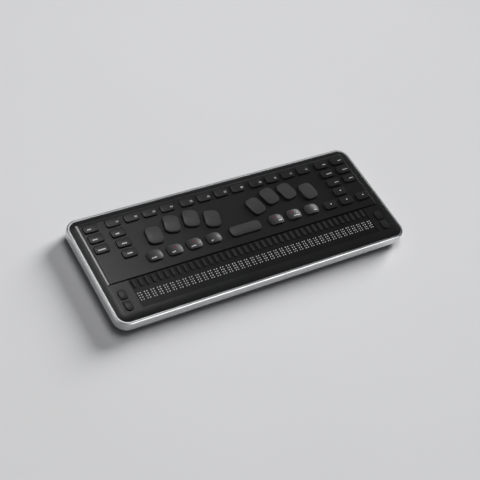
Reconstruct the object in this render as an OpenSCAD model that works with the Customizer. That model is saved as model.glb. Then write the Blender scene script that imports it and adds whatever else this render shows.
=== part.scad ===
// Braille display: a line of forty eight-dot cells in front of a set of braille and control keys.
// Lengths are millimetres. X runs along the braille line, Y points to the rear and Z points up.
// The origin is the middle of the footprint, on the surface that the feet stand on.

/* [Body] */
// Width over the metal frame
body_w = 312; // [308:1:340]
// Depth over the metal frame
body_d = 120; // [117:0.5:136]
// Outer corner radius of the metal frame, seen from above
corner_r = 12; // [11:0.5:15]
// Height of the metal frame
frame_h = 9.3; // [8.8:0.1:12]
// Wall thickness of the metal frame
frame_t = 2.5; // [2:0.1:3]
// Radius of the frame's rounded upper outer edge
edge_r = 1.3; // [0.8:0.1:1.6]
// Height of the lower case that shows below the frame
case_drop = 4; // [3:0.1:6]
// Height of the front zone above the frame's rim
front_rise = 0.8; // [0.6:0.1:1.4]
// Height of the keyboard deck above the front zone
deck_rise = 1.1; // [0.8:0.1:1.3]
// Width of the rounded shoulder between the frame and the flat top
shoulder_w = 7.4; // [6:0.1:8]

/* [Control keys] */
// Width of a small key
small_w = 13.8; // [12:0.1:14.5]
// Depth of a small key
small_d = 8.8; // [8:0.1:9.5]
// Height of a small key above the deck
small_rise = 1.7; // [1.2:0.1:2.2]
// Extra space between the groups of four function keys
group_gap = 2.45; // [1:0.05:4]
// Depth of the margin between the function row's centre line and the rear of the frame
rear_margin = 15.8; // [15.6:0.1:17]

/* [Braille keys] */
// Width of a braille dot key
dot_w = 15.4; // [13:0.1:16]
// Depth of a braille dot key
dot_d = 19.6; // [17:0.1:20.5]
// Height of a braille dot key's crown above the deck
dot_rise = 2.8; // [2:0.1:3.4]
// Places of the dot keys across each fan of four, inner key first
dot_fan = [-30.4, -11, 9.1, 30.4]; // [-32:0.1:32]
// Lean of the three inner dot keys towards the middle, degrees
dot_lean = 13; // [0:0.5:15]
// Width of the space key
space_w = 33; // [24:0.5:36]
// Width of a thumb key
thumb_w = 15.2; // [13:0.1:17]
// Depth of a thumb key
thumb_d = 10.8; // [9:0.1:11.6]
// Height of a thumb key's dome above the deck
thumb_rise = 2.6; // [1.8:0.1:3.2]

/* [Braille line] */
// Room left at each end of the line for the scroll keys
line_inset = 27.5; // [27:0.1:34]
// Spacing of cells along the line
cell_pitch = 6.42; // [6:0.01:6.42]
// Spacing of dots inside a cell
dot_pitch = 2.45; // [2.4:0.01:2.5]
// Height of a raised dot above its cell cap
dot_height = 0.7; // [0.5:0.05:0.9]
// Length of a cell cap from front to rear
cap_d = 30.2; // [29.5:0.1:30.6]

/* [Travel] */
// Press of a small key
small_travel = 1.2; // [0.8:0.1:1.4]
// Press of a dot, thumb or space key
dot_travel = 1.8; // [1.2:0.1:2]
// Press of a scroll key
scroll_travel = 1; // [0.6:0.1:1.2]

/* [Hidden] */
$fa = 6;
$fs = 0.3;

// Running clearance around a key and around a braille dot
key_gap = 0.35;
pin_gap = 0.18;
// Clearance of parts that drop into the frame, and the overlap that joins cuts cleanly
fit_gap = 0.15;
cut = 0.5;

corner_x = body_w / 2 - corner_r;
corner_y = body_d / 2 - corner_r;
rear_y = body_d / 2;
front_y = -body_d / 2;
inner_r = corner_r - frame_t;
drop_in_r = inner_r - fit_gap;
shoulder_r = drop_in_r - shoulder_w;

// Heights, from the feet upwards
foot_r = 6;
foot_inset = [38, 16];
foot_t = 1.7;
foot_set = 0.5;
case_z = foot_t - foot_set;
floor_t = 1.8;
floor_z = case_z + floor_t;
foot_bevel = 0.4;
frame_z = case_z + case_drop;
rim_z = frame_z + frame_h;
edge_drop = 0.5;
edge_z = rim_z - edge_drop;
edge_t = 0.9;
ledge_z = edge_z - edge_t;
ledge_t = 0.8;
ledge_w = 2;
front_z = rim_z + front_rise;
deck_z = front_z + deck_rise;
deck_t = 2.1;
deck_under = deck_z - deck_t;
// Rounded crest of the deck: it falls to just below the cover's shoulder, over the width of its arc
crest_r = 6;
crest_drop = deck_rise + 0.2;
crest_w = sqrt(crest_drop * (2 * crest_r - crest_drop));
shoulder_drop = front_z - edge_z;
shoulder_arc = (pow(shoulder_w, 2) + pow(shoulder_drop, 2)) / (2 * shoulder_drop);

// Key retention: a flange under the deck, and a post that works the switch
flange_w = 0.7;
flange_t = 0.8;
flange_gap = 0.2;
flange_z = deck_under - flange_gap - flange_t;
scroll_flange_z = ledge_z - flange_gap - flange_t;
post_r = 1.6;
stub_h = 0.75;
rest_gap = 0.15;
cap_wall = 1.1;
cap_roof_z = deck_z - 0.4;
switch_h = 1.6;
switch_w = 5.2;
switch_z = flange_z - stub_h - dot_travel - rest_gap;
board_t = 1.2;
board_top = switch_z - switch_h;
board_z = board_top - board_t;

// Plan of the deck and of the braille window
deck_x = corner_x + 3.3;
deck_rear = corner_y + 4.7;
groove_w = 0.7;
groove_d = 0.6;
pocket_inset = 0.8;
cell_count = floor((body_w - 2 * line_inset) / cell_pitch);
line_w = cell_count * cell_pitch;
line_margin = 12.2;
window_gap = 0.25;
cap_front = front_y + line_margin;
deck_front = cap_front + cap_d + groove_w;

// Plan of the keys: the outer columns keep their distance from the ends of the body
left_inset = [20, 41.7];
right_inset = [38.8, 19.1];
left_x = [for (inset = left_inset) inset - body_w / 2];
right_x = [for (inset = right_inset) body_w / 2 - inset];

// Five rows share the depth of the deck; the strip in front of them is a multiple of their gap
row_count = 5;
strip_gaps = 2.515;
row_top = rear_y - rear_margin + small_d / 2;
row_gap = (row_top - deck_front - row_count * small_d) / (row_count - 1 + strip_gaps);
row_pitch = small_d + row_gap;
row_y = [for (i = [0:row_count - 1]) rear_y - rear_margin - i * row_pitch];

// The function row runs from the inner left column to the paging keys
function_count = 12;
function_group = 4;
function_shift = 0.3;
paging_step = 21.7;
function_first = left_x[1] + function_shift;
function_last = right_x[0] - paging_step;
function_pitch = (function_last - function_first
    - (function_count / function_group - 1) * group_gap) / (function_count - 1);

// Each fan stands midway between the middle and the inner column. In depth, the space left by the
// fan and the thumb keys is shared out: behind the fan, before the fan, and before the thumb keys.
fan_shift = 0.7;
fan_mid = (-left_x[1] - small_w / 2) / 2 + fan_shift;
fan_stagger = 6.7;
dot_x = [for (d = dot_fan) fan_mid + d];
thumb_gaps = 1.12;
front_gaps = 1.8;
fan_gap = (row_y[0] - small_d / 2 - deck_front - dot_d - fan_stagger - thumb_d)
    / (1 + thumb_gaps + front_gaps);
dot_far_y = row_y[0] - small_d / 2 - fan_gap - dot_d / 2;
dot_near_y = dot_far_y - fan_stagger;
dot_y = [dot_near_y, dot_far_y, dot_far_y, dot_near_y];
dot_turn = [dot_lean, dot_lean, dot_lean, dot_lean / 2];
dot_number = [[1, 2, 3, 7], [4, 5, 6, 8]];

// Thumb keys spread from the space key to the inner left column; the gap beside the space key is wider
thumb_mid = 1;
thumb_count = 4;
thumb_inset = 12.2;
space_gaps = 1.96;
thumb_gap = (thumb_mid - left_x[1] - thumb_inset - space_w / 2 - thumb_count * thumb_w)
    / (thumb_count - 1 + space_gaps);
thumb_pitch = thumb_w + thumb_gap;
thumb_inner = space_w / 2 + space_gaps * thumb_gap + thumb_w / 2;
thumb_y = dot_near_y - dot_d / 2 - thumb_gaps * fan_gap - thumb_d / 2;
space_shift = 0.2;
arrow_dx = 19.2;

scroll_inset = 16.4;
scroll_mid = 11.5;
scroll_pitch = 12.6;
scroll_x = body_w / 2 - scroll_inset;
scroll_y = [for (s = [1, -1]) cap_front + scroll_mid + s * scroll_pitch / 2];
scroll_w = 7;
scroll_d = 10.4;
scroll_rise = 1.3;
scroll_corner = 1;

// Plan radius and top curvature of each kind of key
small_r = 2;
small_crown = 34;
dot_r = 5.2;
dot_crown = 52;
thumb_r = 3.6;
thumb_dome = 24;
space_d = 11.4;
space_r = 4;
space_rise = 2.3;
space_crown = 22;
scroll_dome = 24;

// Braille cells: eight pins in a cap, and a routing key behind them
cap_t = 1.8;
cap_slit = 0.06;
cap_top = front_z - 0.3;
cap_z = cap_top - cap_t;
pin_r = 0.6;
pin_collar_r = 1.05;
pin_collar_t = 0.7;
pin_stop = 0.3;
pin_inset = 10.7;
pin_y = cap_front + pin_inset;
pin_top = cap_top + dot_height;
pin_foot = cap_z - pin_stop - pin_collar_t;
routing_inset = 24.9;
routing_y = cap_front + routing_inset;
routing_w = 3.6;
routing_d = 9;
routing_rise = 0.9;
routing_crown = 2.6;
routing_flange = 0.5;
routing_flange_t = 0.6;
routing_travel = 0.5;
routing_foot = cap_z - pin_stop - routing_flange_t;
well_gap = 0.2;
cell_wall = 0.5;
pin_well_d = 11;
pin_well_z = pin_foot - dot_height - well_gap;
routing_well_d = routing_d + 2 * routing_flange + 0.8;
routing_well_z = routing_foot - routing_travel - well_gap;

// Fastening: screws come up through the case and the board into the cover
screw_r = 1.25;
screw_head_r = 2.2;
screw_head_h = 1.6;
head_z = floor_z + 0.4;
screw_top = deck_under - 1.3;
boss_r = 2.8;
case_boss_r = 3.6;
pilot_gap = 0.05;
through_gap = 0.25;
end_screw = [4.6, 7];
screws_at = [
    [left_x[0], row_y[3]],
    [right_x[1], row_y[3]],
    [left_x[1], row_y[4]],
    [(dot_x[3] + right_x[0]) / 2, row_y[2]],
    [0, dot_far_y],
    [-line_w / 2 - end_screw[0], front_y + end_screw[1]],
    [line_w / 2 + end_screw[0], front_y + end_screw[1]]
];

// Rear connections
usb_inset = 51;
usb_x = body_w / 2 - usb_inset;
usb_w = 8.94;
usb_h = 3.26;
usb_d = 7.2;
usb_wall = 0.35;
usb_tongue_h = 0.7;
usb_y = rear_y - frame_t - fit_gap;
usb_z = board_top + usb_h / 2;
power_inset = 30;
power_x = body_w / 2 - power_inset;
power_w = 8;
power_h = 2.8;
power_z = usb_z - 0.4;
power_gap = 0.25;
power_recess = 0.2;
power_flange_t = 1.2;
power_flange = 0.9;
case_wall = 1.8;
wall_inner_y = rear_y - frame_t - fit_gap - case_wall;
board_rear = wall_inner_y - 3;
board_inset = 7.5;
board_x = body_w / 2 - board_inset;
board_front = deck_front + 3.9;
board_r = 3;
arm_x = line_w / 2 + 0.8;
arm_front = front_y + 3.6 + case_wall;

battery_w = 88;
battery_d = 48;
battery_gap = 0.6;
battery_r = 3;
battery_x = -50;
battery_set = 33;
battery_y = deck_front + battery_set;

// Colours of the real object
black = [0.07, 0.07, 0.075];
key_black = [0.11, 0.11, 0.115];
metal = [0.72, 0.73, 0.75];
ivory = [0.9, 0.89, 0.86];
green = [0.05, 0.24, 0.13];
foil = [0.6, 0.61, 0.63];
rubber_grey = [0.12, 0.12, 0.12];
steel = [0.55, 0.55, 0.57];

// Every key: name, kind, X, Y, turn about Z
function_keys = [for (i = [0:function_count - 1]) [
    str("function_key_", i + 1), "small",
    function_first + i * function_pitch + floor(i / function_group) * group_gap, row_y[0], 0]];
left_names = ["escape_key", "tab_key", "caps_lock_key"];
left_keys = [for (i = [0:2]) [left_names[i], "small", left_x[0], row_y[i], 0]];
modifier_keys = [for (i = [0:2]) [str("modifier_key_", i + 1), "small", left_x[1], row_y[i + 1], 0]];
paging_names = [["insert_key", "home_key", "delete_key"], ["page_up_key", "end_key", "page_down_key"]];
paging_keys = [for (c = [0:1], i = [0:2]) [paging_names[c][i], "small", right_x[c], row_y[i], 0]];
arrow_keys = [
    ["arrow_up_key", "small", right_x[0], row_y[3], 0],
    ["arrow_left_key", "small", right_x[0] - arrow_dx, row_y[4], 0],
    ["arrow_down_key", "small", right_x[0], row_y[4], 0],
    ["arrow_right_key", "small", right_x[1], row_y[4], 0]
];
dot_keys = [for (s = [0:1], i = [0:3]) [
    str("dot_key_", dot_number[s][i]), "dot", (2 * s - 1) * dot_x[i], dot_y[i], (2 * s - 1) * dot_turn[i]]];
left_thumb_keys = [for (i = [0:3]) [
    str("left_thumb_key_", i + 1), "thumb", thumb_mid - thumb_inner - i * thumb_pitch, thumb_y, 0]];
right_thumb_keys = [for (i = [0:2]) [
    str("right_thumb_key_", i + 1), "thumb", thumb_mid + thumb_inner + i * thumb_pitch, thumb_y, 0]];
space_keys = [["space_key", "space", thumb_mid, thumb_y + space_shift, 0]];
scroll_keys = [for (s = [0:1], i = [0:1]) [
    str(["left", "right"][s], "_scroll_", ["up", "down"][i], "_key"), "scroll",
    (2 * s - 1) * scroll_x, scroll_y[i], i * 180]];
keys = concat(function_keys, left_keys, modifier_keys, paging_keys, arrow_keys, dot_keys,
    left_thumb_keys, right_thumb_keys, space_keys, scroll_keys);

// A rectangle with round corners, about its centre
module rounded(w, d, r) {
    square([w - 2 * r, d], center = true);
    square([w, d - 2 * r], center = true);
    for (sx = [-1, 1], sy = [-1, 1])
        translate([sx * (w / 2 - r), sy * (d / 2 - r)])
            circle(r);
}

module slab(w, d, r, z0, z1) {
    translate([0, 0, z0])
        linear_extrude(z1 - z0)
            rounded(w, d, r);
}

// A slot with round ends, its length along Y
module stadium(w, d) {
    square([w, d - w], center = true);
    for (s = [-1, 1])
        translate([0, s * (d - w) / 2])
            circle(w / 2);
}

// A prism with round ends that runs along Y, its width along X and its height along Z
module rear_slot(w, h, y0, y1) {
    translate([0, y1, 0])
        rotate([90, 0, 0])
            linear_extrude(y1 - y0)
                rotate([0, 0, 90])
                    stadium(h, w);
}

// Carries a profile of radius and height once round the rounded rectangle of the body
module around() {
    for (i = [0:3]) {
        along_x = i % 2 == 0;
        reach_x = along_x ? corner_x : corner_y;
        reach_y = along_x ? corner_y : corner_x;
        rotate([0, 0, 90 * i]) {
            translate([reach_x, reach_y, 0])
                rotate_extrude(angle = 90)
                    children();
            translate([reach_x, 0, 0])
                rotate([90, 0, 0])
                    linear_extrude(2 * reach_y, center = true)
                        children();
        }
    }
}

module body_slab(r, z0, z1) {
    slab(2 * (corner_x + r), 2 * (corner_y + r), r, z0, z1);
}

module at_screws() {
    for (p = screws_at)
        translate([p[0], p[1], 0])
            children();
}

// Plan outline of a key, grown by g
module key_plan(kind, g) {
    if (kind == "small")
        rounded(small_w + 2 * g, small_d + 2 * g, small_r + g);
    if (kind == "dot")
        rounded(dot_w + 2 * g, dot_d + 2 * g, dot_r + g);
    if (kind == "thumb")
        rounded(thumb_w + 2 * g, thumb_d + 2 * g, thumb_r + g);
    if (kind == "space")
        rounded(space_w + 2 * g, space_d + 2 * g, space_r + g);
    if (kind == "scroll")
        half_capsule(scroll_w + 2 * g, scroll_d + 2 * g, scroll_corner + g);
}

// Round at the rear, square with small corners at the front
module half_capsule(w, d, r) {
    straight = d - w / 2;
    translate([0, d / 2 - w / 2])
        circle(w / 2);
    translate([0, -d / 2 + r])
        translate([-w / 2, 0])
            square([w, straight - r]);
    translate([-w / 2 + r, -d / 2])
        square([w - 2 * r, straight]);
    for (s = [-1, 1])
        translate([s * (w / 2 - r), -d / 2 + r])
            circle(r);
}

function key_top(kind) =
    kind == "small" ? deck_z + small_rise :
    kind == "dot" ? deck_z + dot_rise :
    kind == "thumb" ? deck_z + thumb_rise :
    kind == "space" ? deck_z + space_rise : front_z + scroll_rise;

function key_travel(kind) =
    kind == "small" ? small_travel : kind == "scroll" ? scroll_travel : dot_travel;

// The curved top of a key, as a large round body that the cap is cut from
module key_crown(kind) {
    top = key_top(kind);
    if (kind == "small" || kind == "dot" || kind == "space") {
        r = kind == "small" ? small_crown : kind == "dot" ? dot_crown : space_crown;
        translate([0, 0, top - r])
            rotate([0, 90, 0])
                cylinder(h = 2 * space_w, r = r, center = true);
    } else {
        r = kind == "thumb" ? thumb_dome : scroll_dome;
        translate([0, 0, top - r])
            sphere(r);
    }
}

module key(kind) {
    scroll = kind == "scroll";
    base = scroll ? scroll_flange_z : flange_z;
    roof = scroll ? base : cap_roof_z;
    foot = switch_z + rest_gap + key_travel(kind);
    color(key_black)
        union() {
            difference() {
                union() {
                    intersection() {
                        translate([0, 0, base])
                            linear_extrude(key_top(kind) - base)
                                key_plan(kind, 0);
                        key_crown(kind);
                    }
                    translate([0, 0, base])
                        linear_extrude(flange_t)
                            key_plan(kind, flange_w);
                }
                if (!scroll)
                    translate([0, 0, base - cut])
                        linear_extrude(roof - base + cut)
                            key_plan(kind, -cap_wall);
            }
            translate([0, 0, foot])
                cylinder(h = roof - foot + cut, r = post_r);
        }
}

module frame() {
    color(metal)
        difference() {
            around()
                union() {
                    polygon([
                        [inner_r, frame_z],
                        [corner_r - foot_bevel, frame_z],
                        [corner_r, frame_z + foot_bevel],
                        [corner_r, rim_z - edge_r],
                        [corner_r - edge_r, rim_z - edge_r],
                        [corner_r - edge_r, rim_z],
                        [inner_r, rim_z]
                    ]);
                    translate([corner_r - edge_r, rim_z - edge_r])
                        circle(edge_r);
                    translate([inner_r - ledge_w, ledge_z - ledge_t])
                        square([ledge_w + cut, ledge_t]);
                }
            translate([usb_x, 0, usb_z])
                rear_slot(usb_w + 2 * power_gap, usb_h + 2 * power_gap, wall_inner_y, rear_y + cut);
            translate([power_x, 0, power_z])
                rear_slot(power_w + 2 * power_gap, power_h + 2 * power_gap, wall_inner_y, rear_y + cut);
        }
}

// Shoulder of the cover: level at the top, falling along an arc to the frame
module shoulder_profile() {
    intersection() {
        translate([shoulder_r, front_z - shoulder_arc])
            circle(shoulder_arc, $fa = 1);
        translate([shoulder_r, ledge_z])
            square([shoulder_w, front_z - ledge_z]);
    }
}

// What the crest leaves of a square edge at the origin, to be cut away
module crest_cut() {
    difference() {
        translate([-cut, -crest_drop])
            square([crest_w + cut, crest_drop + cut]);
        translate([crest_w, -crest_r])
            circle(crest_r, $fa = 1);
    }
}

// Raised keyboard deck, with a rounded crest on its two sides and its rear
module deck_block() {
    deck_l = deck_rear - deck_front;
    intersection() {
        translate([0, (deck_rear + deck_front) / 2, 0])
            rotate([90, 0, 0])
                linear_extrude(deck_l, center = true)
                    difference() {
                        translate([-deck_x, ledge_z])
                            square([2 * deck_x, deck_z - ledge_z]);
                        for (side = [0, 1])
                            mirror([side, 0])
                                translate([-deck_x, deck_z])
                                    crest_cut();
                    }
        rotate([90, 0, 90])
            linear_extrude(2 * body_w, center = true)
                difference() {
                    translate([deck_front, ledge_z])
                        square([deck_l, deck_z - ledge_z]);
                    translate([deck_rear, deck_z])
                        mirror([1, 0])
                            crest_cut();
                }
    }
}

module top_cover() {
    pocket_d = deck_rear - deck_front - 2 * pocket_inset;
    color(black)
        difference() {
            union() {
                around()
                    shoulder_profile();
                body_slab(shoulder_r, ledge_z, front_z);
                deck_block();
                at_screws()
                    translate([0, 0, board_top])
                        cylinder(h = ledge_z + cut - board_top, r = boss_r);
            }
            difference() {
                translate([0, deck_front + pocket_inset + pocket_d / 2, 0])
                    slab(2 * (deck_x - pocket_inset), pocket_d, 1, ledge_z - cut, deck_under);
                at_screws()
                    cylinder(h = deck_z, r = boss_r);
            }
            at_screws()
                translate([0, 0, board_top - cut])
                    cylinder(h = screw_top + cut * 2 - board_top, r = screw_r + pilot_gap);
            translate([-deck_x, deck_front - groove_w, front_z - groove_d])
                cube([2 * deck_x, groove_w, deck_z]);
            translate([-line_w / 2 - window_gap, cap_front - window_gap, ledge_z - cut])
                cube([line_w + 2 * window_gap, cap_d + groove_w + window_gap, deck_z]);
            for (k = keys)
                translate([k[2], k[3], ledge_z - cut])
                    rotate([0, 0, k[4]])
                        linear_extrude(deck_z)
                            key_plan(k[1], key_gap);
        }
}

module bottom_case() {
    foot_low_r = drop_in_r - 1.3;
    lip_r = corner_r - 0.8;
    color(black)
        difference() {
            union() {
                difference() {
                    union() {
                        around()
                            polygon([
                                [shoulder_r, case_z],
                                [foot_low_r, case_z],
                                [lip_r, case_z + case_drop * 0.7],
                                [lip_r, frame_z],
                                [drop_in_r, frame_z],
                                [drop_in_r, ledge_z - ledge_t],
                                [drop_in_r - case_wall, ledge_z - ledge_t],
                                [drop_in_r - case_wall, floor_z],
                                [shoulder_r, floor_z]
                            ]);
                        body_slab(shoulder_r, case_z, floor_z);
                    }
                    translate([usb_x, 0, usb_z])
                        rear_slot(usb_w + 2 * power_gap, usb_h + 2 * power_gap, wall_inner_y - cut, rear_y);
                    translate([power_x, 0, power_z])
                        rear_slot(power_w + 2 * power_gap, power_h + 2 * power_gap, wall_inner_y - cut, rear_y);
                }
                at_screws()
                    translate([0, 0, case_z])
                        cylinder(h = board_z - case_z, r = case_boss_r);
            }
            at_screws() {
                translate([0, 0, case_z - cut])
                    cylinder(h = head_z - case_z + cut, r = screw_head_r + through_gap);
                translate([0, 0, case_z])
                    cylinder(h = board_z, r = screw_r + through_gap);
            }
            at_feet()
                translate([0, 0, case_z - cut])
                    cylinder(h = foot_set + cut, r = foot_r + fit_gap);
        }
}

module at_feet() {
    for (sx = [-1, 1], sy = [-1, 1])
        translate([sx * (body_w / 2 - foot_inset[0]), sy * (body_d / 2 - foot_inset[1]), 0])
            children();
}

module feet() {
    color(rubber_grey)
        at_feet()
            difference() {
                cylinder(h = foot_t, r = foot_r);
                rotate_extrude()
                    polygon([[foot_r - 0.5, -cut], [foot_r + cut, -cut], [foot_r + cut, cut + 0.1]]);
            }
}

module screws() {
    color(steel)
        at_screws()
            difference() {
                union() {
                    translate([0, 0, head_z - screw_head_h])
                        cylinder(h = screw_head_h, r = screw_head_r);
                    translate([0, 0, head_z - cut])
                        cylinder(h = screw_top - head_z + cut, r = screw_r);
                }
                translate([0, 0, head_z - screw_head_h - cut])
                    cylinder(h = 0.9 + cut, r = 1.1, $fn = 6);
            }
}

// Places its children once for each cell of the braille line
module at_cells() {
    for (i = [0:cell_count - 1])
        translate([(i - (cell_count - 1) / 2) * cell_pitch, 0, 0])
            children();
}

module at_pins() {
    for (c = [-0.5, 0.5], r = [-1.5:1.5])
        translate([c * dot_pitch, pin_y + r * dot_pitch, 0])
            children();
}

module cell_caps() {
    color(black)
        at_cells()
            difference() {
                translate([-(cell_pitch - cap_slit) / 2, cap_front, cap_z])
                    cube([cell_pitch - cap_slit, cap_d, cap_t]);
                at_pins()
                    translate([0, 0, cap_z - cut])
                        cylinder(h = cap_t + 2 * cut, r = pin_r + pin_gap);
                translate([0, routing_y, cap_z - cut])
                    linear_extrude(cap_t + 2 * cut)
                        stadium(routing_w + 2 * window_gap, routing_d + 2 * window_gap);
            }
}

module braille_cells() {
    width = cell_pitch - 2 * cap_slit;
    well = width - 2 * cell_wall;
    color(ivory)
        at_cells()
            difference() {
                translate([-width / 2, cap_front + window_gap, floor_z])
                    cube([width, cap_d - 2 * window_gap, cap_z - floor_z]);
                translate([-well / 2, pin_y - pin_well_d / 2, pin_well_z])
                    cube([well, pin_well_d, cap_z]);
                translate([-well / 2, routing_y - routing_well_d / 2, routing_well_z])
                    cube([well, routing_well_d, cap_z]);
            }
}

module braille_pins() {
    color(ivory)
        at_cells()
            at_pins() {
                translate([0, 0, pin_foot])
                    cylinder(h = pin_collar_t, r = pin_collar_r);
                translate([0, 0, pin_foot])
                    cylinder(h = pin_top - pin_r - pin_foot, r = pin_r);
                translate([0, 0, pin_top - pin_r])
                    sphere(pin_r);
            }
}

module routing_keys() {
    top = cap_top + routing_rise;
    color(key_black)
        at_cells()
            translate([0, routing_y, 0]) {
                intersection() {
                    translate([0, 0, routing_foot])
                        linear_extrude(top - routing_foot)
                            stadium(routing_w, routing_d);
                    translate([0, 0, top - routing_crown])
                        rotate([90, 0, 0])
                            cylinder(h = 2 * routing_d, r = routing_crown, center = true);
                }
                translate([0, 0, routing_foot])
                    linear_extrude(routing_flange_t)
                        stadium(routing_w + 2 * routing_flange, routing_d + 2 * routing_flange);
            }
}

// Circuit board with a push switch under each key, and the socket at its rear edge
module main_board() {
    arm_w = board_x - arm_x;
    arm_d = board_rear - arm_front;
    color(green)
        difference() {
            union() {
                translate([0, (board_rear + board_front) / 2, 0])
                    slab(2 * board_x, board_rear - board_front, board_r, board_z, board_top);
                for (s = [-1, 1])
                    translate([s * (arm_x + arm_w / 2), (board_rear + arm_front) / 2, 0])
                        slab(arm_w, arm_d, board_r, board_z, board_top);
                for (k = keys)
                    translate([k[2] - switch_w / 2, k[3] - switch_w / 2, board_z])
                        cube([switch_w, switch_w, switch_z - board_z]);
                translate([power_x - switch_w / 2, board_rear - switch_w, board_z])
                    cube([switch_w, switch_w, switch_z - board_z]);
                translate([usb_x, 0, usb_z])
                    usb_socket();
            }
            at_screws()
                cylinder(h = deck_z, r = screw_r + through_gap);
        }
}

module usb_socket() {
    floor_y = usb_y - usb_d;
    difference() {
        rear_slot(usb_w, usb_h, floor_y, usb_y);
        rear_slot(usb_w - 2 * usb_wall, usb_h - 2 * usb_wall, floor_y + 1, usb_y + cut);
    }
    translate([0, (floor_y + usb_y) / 2, 0])
        cube([usb_w - usb_h, usb_d - 1, usb_tongue_h], center = true);
}

module battery_pack() {
    color(foil)
        translate([battery_x, battery_y, 0])
            slab(battery_w, battery_d, battery_r, floor_z, board_z - battery_gap);
}

module power_button() {
    inner = wall_inner_y - 0.3;
    color(key_black)
        translate([power_x, 0, power_z]) {
            rear_slot(power_w, power_h, inner - cut, rear_y - power_recess);
            rear_slot(power_w + 2 * power_flange, power_h + 2 * power_flange,
                inner - power_flange_t, inner);
        }
}

frame();
top_cover();
bottom_case();
cell_caps();
braille_cells();
braille_pins();
routing_keys();
main_board();
battery_pack();
power_button();
feet();
screws();
for (k = keys)
    translate([k[2], k[3], 0])
            rotate([0, 0, k[4]])
                key(k[1]);
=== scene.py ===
import math

import bmesh
import bpy
from mathutils import Matrix, Vector


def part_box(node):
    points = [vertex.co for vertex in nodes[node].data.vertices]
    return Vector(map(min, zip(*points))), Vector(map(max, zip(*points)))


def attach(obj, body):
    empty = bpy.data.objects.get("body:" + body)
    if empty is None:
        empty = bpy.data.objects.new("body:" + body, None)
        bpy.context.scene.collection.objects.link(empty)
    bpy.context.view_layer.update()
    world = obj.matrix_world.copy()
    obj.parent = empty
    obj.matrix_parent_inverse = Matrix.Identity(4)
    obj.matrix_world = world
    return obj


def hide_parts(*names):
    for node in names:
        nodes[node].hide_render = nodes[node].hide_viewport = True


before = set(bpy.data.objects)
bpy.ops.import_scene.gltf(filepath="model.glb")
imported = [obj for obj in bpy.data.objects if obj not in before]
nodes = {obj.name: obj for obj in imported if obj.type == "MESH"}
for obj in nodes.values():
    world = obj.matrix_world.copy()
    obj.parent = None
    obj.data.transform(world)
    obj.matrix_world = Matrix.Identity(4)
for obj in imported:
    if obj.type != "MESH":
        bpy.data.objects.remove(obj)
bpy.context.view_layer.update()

mm = 0.001
weld = 1e-6              # points closer than this are one point
cutSlack = 1e-7          # a cut leaves points this close to it where they are
sliver = 2e-6            # faces thinner than this are taken out of a mark
smoothBelow = 48         # degrees; sharper edges stay sharp
noiseRough = 0.55
print("frame loaded:", len(nodes), "nodes")


# Shader helpers

def newMaterial(name):
    material = bpy.data.materials.new(name)
    material.use_nodes = True
    tree = material.node_tree
    shader = tree.nodes["Principled BSDF"]
    return material, tree, shader


def addNode(tree, kind, **inputs):
    node = tree.nodes.new(kind)
    for socket, value in inputs.items():
        node.inputs[socket.replace("_", " ")].default_value = value
    return node


def objectNoise(tree, scale, detail=3.0, stretch=(1.0, 1.0, 1.0)):
    coords = tree.nodes.new("ShaderNodeTexCoord")
    mapping = addNode(tree, "ShaderNodeMapping", Scale=stretch)
    noise = addNode(tree, "ShaderNodeTexNoise", Scale=scale, Detail=detail, Roughness=noiseRough)
    tree.links.new(coords.outputs["Object"], mapping.inputs["Vector"])
    tree.links.new(mapping.outputs["Vector"], noise.inputs["Vector"])
    return noise.outputs["Fac"]


def colourRange(tree, factor, low, high, start=0.35, end=0.65):
    ramp = tree.nodes.new("ShaderNodeValToRGB")
    ramp.color_ramp.elements[0].position = start
    ramp.color_ramp.elements[0].color = (*low, 1.0)
    ramp.color_ramp.elements[1].position = end
    ramp.color_ramp.elements[1].color = (*high, 1.0)
    tree.links.new(factor, ramp.inputs["Fac"])
    return ramp.outputs["Color"]


def valueRange(tree, factor, low, high, start=0.3, end=0.7):
    mapper = tree.nodes.new("ShaderNodeMapRange")
    mapper.inputs["From Min"].default_value = start
    mapper.inputs["From Max"].default_value = end
    mapper.inputs["To Min"].default_value = low
    mapper.inputs["To Max"].default_value = high
    tree.links.new(factor, mapper.inputs["Value"])
    return mapper.outputs["Result"]


def objectAxis(tree, axis):
    coords = tree.nodes.new("ShaderNodeTexCoord")
    split = tree.nodes.new("ShaderNodeSeparateXYZ")
    tree.links.new(coords.outputs["Object"], split.inputs["Vector"])
    return split.outputs[axis]


def surfaceBump(tree, shader, height, strength, distance):
    bump = addNode(tree, "ShaderNodeBump", Strength=strength, Distance=distance)
    tree.links.new(height, bump.inputs["Height"])
    tree.links.new(bump.outputs["Normal"], shader.inputs["Normal"])
    return bump


def mixSockets(tree, kind, factor, first, second):
    mix = tree.nodes.new("ShaderNodeMix")
    mix.data_type = kind
    tree.links.new(factor, mix.inputs["Factor"])
    tree.links.new(first, mix.inputs["A"])
    tree.links.new(second, mix.inputs["B"])
    return mix.outputs["Result"]


# Moulded plastics: a fine grain in the surface, and a slow drift of tone

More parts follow.
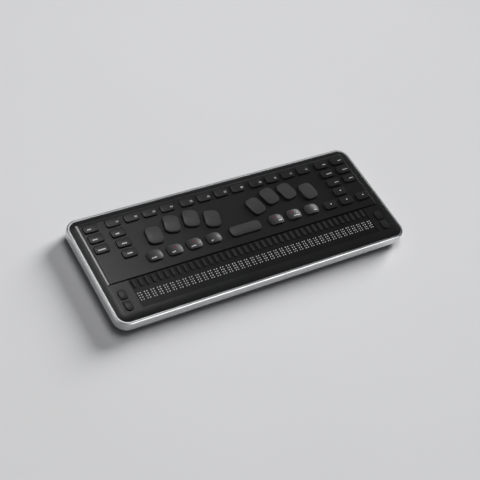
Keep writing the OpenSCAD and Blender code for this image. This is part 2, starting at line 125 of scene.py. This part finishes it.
mouldLook = dict(driftScale=38, detail=2.0, grainDepth=0.05 * mm)
mouldings = {
    "coverPlastic": dict(low=(0.0100, 0.0100, 0.0105), high=(0.0125, 0.0125, 0.0130), rough=(0.30, 0.36),
                         shine=0.42, grain=2600, bump=0.14),
    "casePlastic": dict(low=(0.010, 0.010, 0.011), high=(0.016, 0.016, 0.017), rough=(0.5, 0.62),
                        shine=0.4, grain=1900, bump=0.3),
    "capPlastic": dict(low=(0.0072, 0.0072, 0.0076), high=(0.0096, 0.0096, 0.0100), rough=(0.36, 0.46),
                       shine=0.3, grain=3200, bump=0.12),
    "keyPlastic": dict(low=(0.042, 0.042, 0.0435), high=(0.053, 0.053, 0.0545), rough=(0.34, 0.42),
                       shine=0.5, grain=3400, bump=0.12),
    "smallPlastic": dict(low=(0.0165, 0.0165, 0.0173), high=(0.021, 0.021, 0.0218), rough=(0.34, 0.42),
                         shine=0.45, grain=3400, bump=0.12),
    "thumbPlastic": dict(low=(0.050, 0.050, 0.052), high=(0.060, 0.060, 0.062), rough=(0.36, 0.44),
                         shine=0.6, grain=3400, bump=0.05),
    "routingPlastic": dict(low=(0.018, 0.018, 0.0188), high=(0.024, 0.024, 0.0248), rough=(0.46, 0.56),
                           shine=0.4, grain=3400, bump=0.1),
    "cellPlastic": dict(low=(0.62, 0.61, 0.58), high=(0.7, 0.69, 0.66), rough=(0.45, 0.55),
                        shine=0.5, grain=2400, bump=0.1),
    "pinPlastic": dict(low=(0.84, 0.84, 0.83), high=(0.92, 0.92, 0.91), rough=(0.28, 0.36),
                       shine=0.5, grain=1500, bump=0.03),
    "footRubber": dict(low=(0.014, 0.014, 0.014), high=(0.022, 0.022, 0.022), rough=(0.7, 0.85),
                       shine=0.3, grain=1500, bump=0.5),
    "markPrint": dict(low=(0.74, 0.74, 0.74), high=(0.84, 0.84, 0.84), rough=(0.45, 0.55),
                      shine=0.3, grain=2500, bump=0.05),
    "redPrint": dict(low=(0.15, 0.03, 0.038), high=(0.19, 0.04, 0.05), rough=(0.45, 0.55),
                     shine=0.3, grain=2500, bump=0.05),
}


def makeMoulding(name, look):
    material, tree, shader = newMaterial(name)
    drift = objectNoise(tree, mouldLook["driftScale"], mouldLook["detail"])
    grain = objectNoise(tree, look["grain"], mouldLook["detail"])
    colour = colourRange(tree, drift, look["low"], look["high"])
    tree.links.new(colour, shader.inputs["Base Color"])
    tree.links.new(valueRange(tree, grain, *look["rough"]), shader.inputs["Roughness"])
    shader.inputs["Specular IOR Level"].default_value = look["shine"]
    surfaceBump(tree, shader, grain, look["bump"], mouldLook["grainDepth"])
    return material


finish = {name: makeMoulding(name, look) for name, look in mouldings.items()}


# Frame metal: brushed along its length, and polished smooth over its rounded upper edge

brushedFrame = dict(low=(0.62, 0.625, 0.63), high=(0.76, 0.765, 0.77), rough=(0.40, 0.52),
                    edgeLow=(0.46, 0.465, 0.47), edgeHigh=(0.52, 0.525, 0.53), edgeRough=(0.34, 0.40),
                    edgeHeight=1.0 * mm, edgeFade=0.4 * mm, streak=(24, 24, 2600), streakDetail=4.0,
                    streakSpan=(0.3, 0.7), streakDepth=0.04 * mm, driftScale=60, driftDetail=2.0,
                    bump=0.12)


def makeFrameMetal(look, rimZ):
    material, tree, shader = newMaterial("frameMetal")
    shader.inputs["Metallic"].default_value = 1.0
    streak = objectNoise(tree, 1.0, look["streakDetail"], look["streak"])
    drift = objectNoise(tree, look["driftScale"], look["driftDetail"])
    edgeLow = rimZ - look["edgeHeight"]
    onEdge = valueRange(tree, objectAxis(tree, "Z"), 0.0, 1.0, edgeLow, edgeLow + look["edgeFade"])
    brushed = colourRange(tree, streak, look["low"], look["high"], *look["streakSpan"])
    polished = colourRange(tree, drift, look["edgeLow"], look["edgeHigh"])
    tree.links.new(mixSockets(tree, "RGBA", onEdge, brushed, polished), shader.inputs["Base Color"])
    sideRough = valueRange(tree, streak, *look["rough"])
    edgeRough = valueRange(tree, drift, *look["edgeRough"])
    tree.links.new(mixSockets(tree, "FLOAT", onEdge, sideRough, edgeRough), shader.inputs["Roughness"])
    bump = surfaceBump(tree, shader, streak, look["bump"], look["streakDepth"])
    tree.links.new(valueRange(tree, onEdge, look["bump"], 0.0, 0.0, 1.0), bump.inputs["Strength"])
    return material


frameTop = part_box("frame")[1].z
finish["frameMetal"] = makeFrameMetal(brushedFrame, frameTop)


# Board: green laminate, with the bare metal socket at its rear edge

boardLook = dict(low=(0.012, 0.075, 0.032), high=(0.02, 0.11, 0.05), socket=(0.6, 0.6, 0.62),
                 rough=(0.3, 0.42), weave=900, socketY=52.6 * mm, socketFade=0.02 * mm)


def makeBoard(look):
    material, tree, shader = newMaterial("boardLaminate")
    weave = objectNoise(tree, look["weave"])
    socketY = look["socketY"]
    atSocket = valueRange(tree, objectAxis(tree, "Y"), 0.0, 1.0, socketY, socketY + look["socketFade"])
    mask = colourRange(tree, weave, look["low"], look["high"])
    metal = colourRange(tree, weave, look["socket"], look["socket"])
    tree.links.new(mixSockets(tree, "RGBA", atSocket, mask, metal), shader.inputs["Base Color"])
    tree.links.new(atSocket, shader.inputs["Metallic"])
    tree.links.new(valueRange(tree, weave, *look["rough"]), shader.inputs["Roughness"])
    return material


finish["boardLaminate"] = makeBoard(boardLook)


# Plain metals inside and below

metalGrain = dict(bump=0.1, depth=0.05 * mm)
metals = {
    "screwSteel": dict(low=(0.26, 0.26, 0.27), high=(0.36, 0.36, 0.37), rough=(0.3, 0.45), grain=1400),
    "batteryFoil": dict(low=(0.5, 0.51, 0.53), high=(0.6, 0.61, 0.63), rough=(0.35, 0.55), grain=220),
}


def makeMetal(name, look):
    material, tree, shader = newMaterial(name)
    shader.inputs["Metallic"].default_value = 1.0
    grain = objectNoise(tree, look["grain"])
    tree.links.new(colourRange(tree, grain, look["low"], look["high"]), shader.inputs["Base Color"])
    tree.links.new(valueRange(tree, grain, *look["rough"]), shader.inputs["Roughness"])
    surfaceBump(tree, shader, grain, metalGrain["bump"], metalGrain["depth"])
    return material


for name, look in metals.items():
    finish[name] = makeMetal(name, look)

nodeFinish = {
    "frame": "frameMetal",
    "top_cover": "coverPlastic",
    "bottom_case": "casePlastic",
    "cell_caps": "capPlastic",
    "braille_cells": "cellPlastic",
    "routing_keys": "routingPlastic",
    "main_board": "boardLaminate",
    "battery_pack": "batteryFoil",
    "power_button": "keyPlastic",
    "feet": "footRubber",
    "screws": "screwSteel",
}


def dress(obj, material):
    obj.data.materials.clear()
    obj.data.materials.append(material)


for name, look in nodeFinish.items():
    dress(nodes[name], finish[look])
print("materials ready:", len(finish))


# Key caps: a rounded outline, drawn up, crowned and softened along its upper edge

keyKinds = {
    "small": dict(size=(13.8, 8.8), corners=(2.0, 2.0), tall=4.8, crown=(0, 34), edge=0.45, cuts=(2, 6),
                  finish="smallPlastic"),
    "dot": dict(size=(15.4, 19.6), corners=(5.2, 5.2), tall=5.9, crown=(0, 52), edge=0.8, cuts=(2, 12),
                finish="keyPlastic"),
    "thumb": dict(size=(15.2, 10.8), corners=(3.6, 3.6), tall=5.7, crown=(20, 24), edge=0.7, cuts=(10, 8),
                  finish="thumbPlastic"),
    "space": dict(size=(33.0, 11.4), corners=(4.0, 4.0), tall=5.4, crown=(0, 22), edge=0.7, cuts=(2, 10),
                  finish="keyPlastic"),
    "scroll": dict(size=(7.0, 10.4), corners=(3.45, 1.0), tall=4.5, crown=(24, 24), edge=0.5, cuts=(6, 8),
                   finish="smallPlastic"),
}
flangeLook = dict(width=0.7 * mm, thickness=0.8 * mm)
# An upper edge has a side that faces up less than sideBelow and a top that faces up more than topAbove
rimLook = dict(cornerSegments=8, segments=4, sideBelow=0.2, topAbove=0.6)
dotLean = {"1": -13, "2": -13, "3": -13, "7": -6.5, "4": 13, "5": 13, "6": 13, "8": 6.5}


def newVerts(made):
    return [v for v in made["geom"] if isinstance(v, bmesh.types.BMVert)]


def cutAcross(bm, point, across):
    bmesh.ops.bisect_plane(bm, geom=bm.verts[:] + bm.edges[:] + bm.faces[:], dist=cutSlack,
                           plane_co=point, plane_no=across)


def slicePlanes(half, count):
    return [half * (2 * (i + 1) / (count + 1) - 1) for i in range(count)]


def crownFall(kind, point):
    fall = 0.0
    for along, radius in zip(point.xy, keyKinds[kind]["crown"]):
        if radius:
            fall += along ** 2 / (2 * radius * mm)
    return fall


def roundedSlab(width, depth, rearRadius, frontRadius, low, high):
    bm = bmesh.new()
    verts = bmesh.ops.create_grid(bm, x_segments=1, y_segments=1, size=0.5)["verts"]
    bmesh.ops.scale(bm, vec=(width, depth, 1.0), verts=verts)
    bmesh.ops.translate(bm, vec=(0, 0, low), verts=verts)
    rear = [v for v in verts if v.co.y > 0]
    front = [v for v in verts if v.co.y < 0]
    for corner, radius in ((rear, rearRadius), (front, frontRadius)):
        bmesh.ops.bevel(bm, geom=corner, offset=radius, offset_type="OFFSET", profile=0.5,
                        segments=rimLook["cornerSegments"], affect="VERTICES", material=-1)
    made = bmesh.ops.extrude_face_region(bm, geom=bm.faces[:], use_keep_orig=True)
    bmesh.ops.translate(bm, vec=(0, 0, high - low), verts=newVerts(made))
    return bm


def takeIn(bm, other):
    mesh = bpy.data.meshes.new("part")
    other.to_mesh(mesh)
    other.free()
    bm.from_mesh(mesh)
    bpy.data.meshes.remove(mesh)


def makeCap(kind, base, top):
    look = keyKinds[kind]
    width, depth = (v * mm for v in look["size"])
    rearRadius, frontRadius = (v * mm for v in look["corners"])
    bm = roundedSlab(width, depth, rearRadius, frontRadius, base, top)
    cutsX, cutsY = look["cuts"]
    for x in slicePlanes(width / 2, cutsX):
        cutAcross(bm, (x, 0, 0), (1, 0, 0))
    for y in slicePlanes(depth / 2, cutsY):
        cutAcross(bm, (0, y, 0), (0, 1, 0))
    for v in bm.verts:
        if v.co.z > (base + top) / 2:
            v.co.z -= crownFall(kind, v.co)
    bm.normal_update()
    rim = [e for e in bm.edges if len(e.link_faces) == 2
           and min(abs(f.normal.z) for f in e.link_faces) < rimLook["sideBelow"]
           and max(f.normal.z for f in e.link_faces) > rimLook["topAbove"]]
    bmesh.ops.bevel(bm, geom=rim, offset=look["edge"] * mm, offset_type="OFFSET", profile=0.5,
                    segments=rimLook["segments"], affect="EDGES", material=-1, clamp_overlap=True)
    flange = flangeLook["width"]
    skirt = roundedSlab(width + 2 * flange, depth + 2 * flange, rearRadius + flange,
                        frontRadius + flange, base, base + flangeLook["thickness"])
    takeIn(bm, skirt)
    bmesh.ops.recalc_face_normals(bm, faces=bm.faces)
    return bm


def addPiece(name, bm, material, body):
    mesh = bpy.data.meshes.new(name)
    bm.to_mesh(mesh)
    bm.free()
    obj = bpy.data.objects.new(name, mesh)
    bpy.context.scene.collection.objects.link(obj)
    dress(obj, material)
    mesh.shade_smooth()
    mesh.set_sharp_from_angle(angle=math.radians(smoothBelow))
    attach(obj, body)
    return obj


def kindOf(name):
    if name.startswith("dot_key"):
        return "dot"
    if "thumb_key" in name:
        return "thumb"
    if "scroll" in name:
        return "scroll"
    return "space" if name == "space_key" else "small"


def turnOf(name):
    if name.startswith("dot_key_"):
        return math.radians(dotLean[name[-1]])
    return math.pi if name.endswith("scroll_down_key") else 0.0


def middleOf(name):
    low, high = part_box(name)
    middle = (low + high) / 2
    return Vector((middle.x, middle.y, 0))


keyNames = sorted(n for n in nodes if n.rstrip("0123456789").endswith(("_key", "_key_")))
for name in keyNames:
    kind = kindOf(name)
    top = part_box(name)[1].z
    bm = makeCap(kind, top - keyKinds[kind]["tall"] * mm, top)
    bmesh.ops.rotate(bm, cent=(0, 0, 0), matrix=Matrix.Rotation(turnOf(name), 3, "Z"), verts=bm.verts)
    bmesh.ops.translate(bm, vec=middleOf(name), verts=bm.verts)
    look = keyKinds[kind]["finish"]
    piece = addPiece(name + "_cap", bm, finish[look], name)
    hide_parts(name)
print("key caps made:", len(keyNames))


# Braille pins: one domed pin on its collar, spun, then set out in cells of two by four along the line

pinLook = dict(cells=40, columns=2, rows=4, cellPitch=6.42 * mm, dotPitch=2.45 * mm, radius=0.6 * mm,
               collarRadius=1.05 * mm, collarHeight=0.7 * mm, sides=10, domeAngles=(0, 30, 60, 90))


def spinPin(look, foot, top):
    collar = foot + look["collarHeight"]
    profile = [(0.0, foot), (look["collarRadius"], foot), (look["collarRadius"], collar),
               (look["radius"], collar)]
    for angle in map(math.radians, look["domeAngles"]):
        profile.append((look["radius"] * math.cos(angle), top - look["radius"] * (1 - math.sin(angle))))
    bm = bmesh.new()
    verts = [bm.verts.new((r, 0, z)) for r, z in profile]
    edges = [bm.edges.new(pair) for pair in zip(verts, verts[1:])]
    bmesh.ops.spin(bm, geom=verts + edges, cent=(0, 0, 0), axis=(0, 0, 1), angle=math.tau,
                   steps=look["sides"], use_merge=True)
    bmesh.ops.remove_doubles(bm, verts=bm.verts, dist=weld)
    bmesh.ops.recalc_face_normals(bm, faces=bm.faces)
    return bm


def setOut(bm, count, step):
    first = bm.verts[:] + bm.edges[:] + bm.faces[:]
    for i in range(1, count):
        made = bmesh.ops.duplicate(bm, geom=first)
        bmesh.ops.translate(bm, vec=step * i, verts=newVerts(made))
    bmesh.ops.translate(bm, vec=step * (1 - count) / 2, verts=bm.verts)


pinLow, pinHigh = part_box("braille_pins")
pins = spinPin(pinLook, pinLow.z, pinHigh.z)
setOut(pins, pinLook["rows"], Vector((0, pinLook["dotPitch"], 0)))
setOut(pins, pinLook["columns"], Vector((pinLook["dotPitch"], 0, 0)))
setOut(pins, pinLook["cells"], Vector((pinLook["cellPitch"], 0, 0)))
bmesh.ops.translate(pins, vec=middleOf("braille_pins"), verts=pins.verts)
pinPiece = addPiece("braille_pin_set", pins, finish["pinPlastic"], "braille_pins_body")
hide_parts("braille_pins")
print("pins set out")


# Lip: a sloped bead that closes the groove between the deck's front edge and the cell caps

lipLook = dict(halfLength=143.5 * mm, groove=0.7 * mm, gap=0.05 * mm, bite=0.02 * mm, below=0.28 * mm,
               under=0.08 * mm, edge=0.1 * mm, segments=3)


def makeLip(look, capHigh, deckZ):
    front = capHigh.y + look["gap"]
    back = capHigh.y + look["groove"] + look["bite"]
    low = capHigh.z - look["below"]
    profile = [(back, deckZ - look["under"]), (back, low), (front, low), (front, capHigh.z - look["gap"])]
    bm = bmesh.new()
    end = bm.faces.new([bm.verts.new((-look["halfLength"], y, z)) for y, z in profile])
    made = bmesh.ops.extrude_face_region(bm, geom=[end], use_keep_orig=True)
    bmesh.ops.translate(bm, vec=(2 * look["halfLength"], 0, 0), verts=newVerts(made))
    lengthwise = [e for e in bm.edges if e.calc_length() > look["halfLength"]]
    bmesh.ops.bevel(bm, geom=lengthwise, offset=look["edge"], offset_type="OFFSET", profile=0.5,
                    segments=look["segments"], affect="EDGES", material=-1)
    bmesh.ops.recalc_face_normals(bm, faces=bm.faces)
    return bm


lip = makeLip(lipLook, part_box("cell_caps")[1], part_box("top_cover")[1].z)
addPiece("deck_lip", lip, finish["coverPlastic"], "chassis")
print("lip laid")


# Printed marks: plain numbers on the function row, arrowheads, and rows of dashes in place of words

markLook = dict(digitHeight=2.05 * mm, fontShare=1.35, fontSteps=3, dash=0.95 * mm, pitch=1.25 * mm,
                dashCorner=0.25, dashSegments=3, arrow=1.0 * mm, sink=0.03 * mm, stand=0.03 * mm,
                reach=4.2 * mm, cuts=11)


def digitsMesh(text, height):
    curve = bpy.data.curves.new("digits", "FONT")
    curve.body = text
    curve.size = height * markLook["fontShare"]
    curve.align_x = "CENTER"
    curve.align_y = "CENTER"
    curve.resolution_u = markLook["fontSteps"]
    holder = bpy.data.objects.new("digits", curve)
    bpy.context.scene.collection.objects.link(holder)
    bpy.context.view_layer.update()
    shaped = holder.evaluated_get(bpy.context.evaluated_depsgraph_get())
    mesh = bpy.data.meshes.new_from_object(shaped)
    bm = bmesh.new()
    bm.from_mesh(mesh)
    bpy.data.objects.remove(holder)
    bpy.data.curves.remove(curve)
    bpy.data.meshes.remove(mesh)
    return bm


def dashesMesh(count, height):
    bm = bmesh.new()
    for i in range(count):
        verts = bmesh.ops.create_grid(bm, x_segments=1, y_segments=1, size=0.5)["verts"]
        bmesh.ops.scale(bm, vec=(markLook["dash"], height, 1), verts=verts)
        bmesh.ops.translate(bm, vec=((i - (count - 1) / 2) * markLook["pitch"], 0, 0), verts=verts)
    bmesh.ops.bevel(bm, geom=bm.verts[:], offset=height * markLook["dashCorner"], offset_type="OFFSET",
                    profile=0.5, segments=markLook["dashSegments"], affect="VERTICES", material=-1)
    return bm


def arrowMesh(size, turn):
    bm = bmesh.new()
    verts = bmesh.ops.create_circle(bm, cap_ends=True, segments=3, radius=size)["verts"]
    bmesh.ops.rotate(bm, cent=(0, 0, 0), matrix=Matrix.Rotation(turn, 3, "Z"), verts=verts)
    return bm


def layMark(name, bm, at, ink="markPrint", suffix="_mark"):
    kind = kindOf(name)
    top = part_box(name)[1].z
    bmesh.ops.remove_doubles(bm, verts=bm.verts, dist=weld)
    for step in slicePlanes(markLook["reach"], markLook["cuts"]):
        for across in ((1, 0, 0), (0, 1, 0)):
            cutAcross(bm, (step, step, 0), across)
    bmesh.ops.dissolve_degenerate(bm, dist=sliver, edges=bm.edges)
    bmesh.ops.translate(bm, vec=(at[0] * mm, at[1] * mm, 0), verts=bm.verts)
    bm.normal_update()
    for face in bm.faces:
        if face.normal.z < 0:
            face.normal_flip()
    made = bmesh.ops.extrude_face_region(bm, geom=bm.faces[:], use_keep_orig=True)
    bmesh.ops.translate(bm, vec=(0, 0, markLook["sink"] + markLook["stand"]), verts=newVerts(made))
    for v in bm.verts:
        v.co.z += top - markLook["sink"] - crownFall(kind, v.co)
    bmesh.ops.translate(bm, vec=middleOf(name), verts=bm.verts)
    bmesh.ops.recalc_face_normals(bm, faces=bm.faces)
    addPiece(name + suffix, bm, finish[ink], name)


# Places are in millimetres from the middle of the key
numberPlace = dict(inner=(4.3, -0.95), outer=(3.1, -0.7), firstOuter=10, count=12)
for i in range(1, numberPlace["count"] + 1):
    digits = digitsMesh(f"{i:02d}", markLook["digitHeight"])
    side = "inner" if i < numberPlace["firstOuter"] else "outer"
    layMark(f"function_key_{i}", digits, numberPlace[side])

arrowPlace = (0.6, 0.45)
arrowTurn = {"up": 90, "left": 180, "down": 270, "right": 0}
for side, turn in arrowTurn.items():
    layMark(f"arrow_{side}_key", arrowMesh(markLook["arrow"], math.radians(turn)), arrowPlace)

# Dashes in a row, their height, and the middle of the row on the key
wordMarks = {
    "escape_key": (3, 1.2, (-2.0, -1.3)),
    "tab_key": (4, 1.2, (-1.7, -1.3)),
    "caps_lock_key": (6, 1.3, (-0.5, -1.3)),
    "modifier_key_1": (3, 1.3, (-1.4, -1.5)),
    "modifier_key_2": (4, 1.2, (-0.2, -1.4)),
    "modifier_key_3": (4, 1.2, (-0.4, -0.9)),
    "insert_key": (3, 0.7, (3.0, -0.9)),
    "home_key": (5, 0.8, (1.6, -0.85)),
    "delete_key": (4, 0.6, (3.0, -0.8)),
    "page_up_key": (3, 0.7, (2.3, -0.65)),
    "end_key": (5, 0.65, (1.7, -0.8)),
    "page_down_key": (4, 0.7, (1.1, -0.65)),
    "left_thumb_key_4": (4, 1.3, (-2.0, -2.8)),
    "left_thumb_key_3": (3, 1.2, (-2.4, -2.8)),
    "left_thumb_key_2": (4, 1.2, (-2.4, -2.8)),
    "left_thumb_key_1": (2, 1.2, (-3.0, -2.8)),
    "right_thumb_key_1": (3, 1.0, (3.2, -2.4)),
    "right_thumb_key_2": (6, 1.0, (2.0, -2.5)),
    "right_thumb_key_3": (3, 1.0, (3.3, -2.4)),
}
redMarks = {
    "left_thumb_key_2": (3, 1.6, (0.4, 1.7)),
    "left_thumb_key_3": (3, 1.6, (0.8, 1.7)),
    "right_thumb_key_1": (3, 1.6, (-1.6, 1.9)),
    "right_thumb_key_2": (3, 1.6, (-2.0, 2.2)),
}
for name, (count, height, place) in wordMarks.items():
    layMark(name, dashesMesh(count, height * mm), place)
for name, (count, height, place) in redMarks.items():
    layMark(name, dashesMesh(count, height * mm), place, "redPrint", "_red_mark")
print("marks printed")


# Floor, light and camera

stageLook = dict(size=16.0, low=(0.78, 0.78, 0.79), high=(0.7956, 0.7956, 0.8058), rough=0.7,
                 toneScale=3, toneDetail=2.0)


def makeFloor(look):
    bm = bmesh.new()
    bmesh.ops.create_grid(bm, x_segments=1, y_segments=1, size=look["size"] / 2)
    mesh = bpy.data.meshes.new("floor")
    bm.to_mesh(mesh)
    bm.free()
    floor = bpy.data.objects.new("floor", mesh)
    bpy.context.scene.collection.objects.link(floor)
    material, tree, shader = newMaterial("paleFloor")
    tone = objectNoise(tree, look["toneScale"], look["toneDetail"])
    tree.links.new(colourRange(tree, tone, look["low"], look["high"]), shader.inputs["Base Color"])
    shader.inputs["Roughness"].default_value = look["rough"]
    dress(floor, material)


makeFloor(stageLook)

# Each softbox lights by diffuse light, by gloss or both; some are flagged to light only the pieces named
thumbCaps = [bpy.data.objects[name + "_cap"] for name in keyNames if kindOf(name) == "thumb"]
frameOnly = [nodes["frame"]]
coverOnly = [nodes["top_cover"]]
lamps = {
    "topSoftbox": dict(at=(0.25, 0.30, 1.25), size=0.7, power=4.9, gloss=False),
    "lowSoftbox": dict(at=(2.58, 1.11, 1.03), spread=25.0, power=4.64, gloss=False),
    "overheadSoftbox": dict(at=(0.08, 0.42, 0.80), size=0.25, power=1.0, diffuse=False, skip=thumbCaps),
    "sideSoftbox": dict(at=(0.92, 0.57, 0.52), size=0.25, power=3.1, diffuse=False, only=thumbCaps),
    "frontSoftbox": dict(at=(0.50, -0.90, 0.80), size=1.0, power=15.0, diffuse=False, only=frameOnly),
    "leftSoftbox": dict(at=(-0.72, 0.61, 0.875), size=0.3, power=9.0, diffuse=False, only=coverOnly),
    "rimSoftbox": dict(at=(0.58, 0.58, 0.60), size=0.3, power=0.55, diffuse=False, only=frameOnly),
    "wallSoftbox": dict(at=(-1.00, 0.25, 0.50), size=1.2, power=4.5, diffuse=False, only=frameOnly),
}


def flagLamp(lamp, pieces, state):
    flags = bpy.data.collections.new(lamp.name + "Flags")
    for piece in pieces:
        flags.objects.link(piece)
    lamp.light_linking.receiver_collection = flags
    for flag in flags.collection_objects:
        flag.light_linking.link_state = state


def addLamp(name, look):
    far = "spread" in look               # a far softbox lights the whole floor alike
    light = bpy.data.lights.new(name, "SUN" if far else "AREA")
    light.energy = look["power"]
    if far:
        light.angle = math.radians(look["spread"])
    else:
        light.size = look["size"]
    lamp = bpy.data.objects.new(name, light)
    lamp.location = look["at"]
    lamp.visible_glossy = look.get("gloss", True)
    lamp.visible_diffuse = look.get("diffuse", True)
    lamp.rotation_euler = (-Vector(look["at"])).to_track_quat("-Z", "Y").to_euler()
    bpy.context.scene.collection.objects.link(lamp)
    if "only" in look:
        flagLamp(lamp, look["only"], "INCLUDE")
    if "skip" in look:
        flagLamp(lamp, look["skip"], "EXCLUDE")


for name, look in lamps.items():
    addLamp(name, look)

studioLook = dict(colour=(0.86, 0.88, 0.9, 1.0), strength=0.09)
world = bpy.data.worlds.new("studio")
world.use_nodes = True
background = world.node_tree.nodes["Background"]
background.inputs["Color"].default_value = studioLook["colour"]
background.inputs["Strength"].default_value = studioLook["strength"]
bpy.context.scene.world = world

# The view is the photograph's: from the front left and above, with the camera rolled
viewLook = dict(turn=-45.0, rise=48.0, roll=-20.1, distance=1.027, focal=82.6,
                shift=(-0.0052, -0.0233), near=0.05)


def makeCamera(look, aimZ):
    turn, rise, roll = (math.radians(look[k]) for k in ("turn", "rise", "roll"))
    back = Vector((math.sin(turn) * math.cos(rise), -math.cos(turn) * math.cos(rise), math.sin(rise)))
    right = Vector((math.cos(turn), math.sin(turn), 0))
    up = back.cross(right)
    level = Matrix((right, up, back)).transposed()
    data = bpy.data.cameras.new("camera")
    data.lens = look["focal"]
    data.shift_x, data.shift_y = look["shift"]
    data.clip_start = look["near"]
    camera = bpy.data.objects.new("camera", data)
    turned = level @ Matrix.Rotation(-roll, 3, "Z")
    place = Vector((0, 0, aimZ)) + back * look["distance"]
    camera.matrix_world = Matrix.Translation(place) @ turned.to_4x4()
    bpy.context.scene.collection.objects.link(camera)
    bpy.context.scene.camera = camera


makeCamera(viewLook, frameTop)
bpy.context.scene.view_settings.view_transform = "Standard"
print("stage ready")
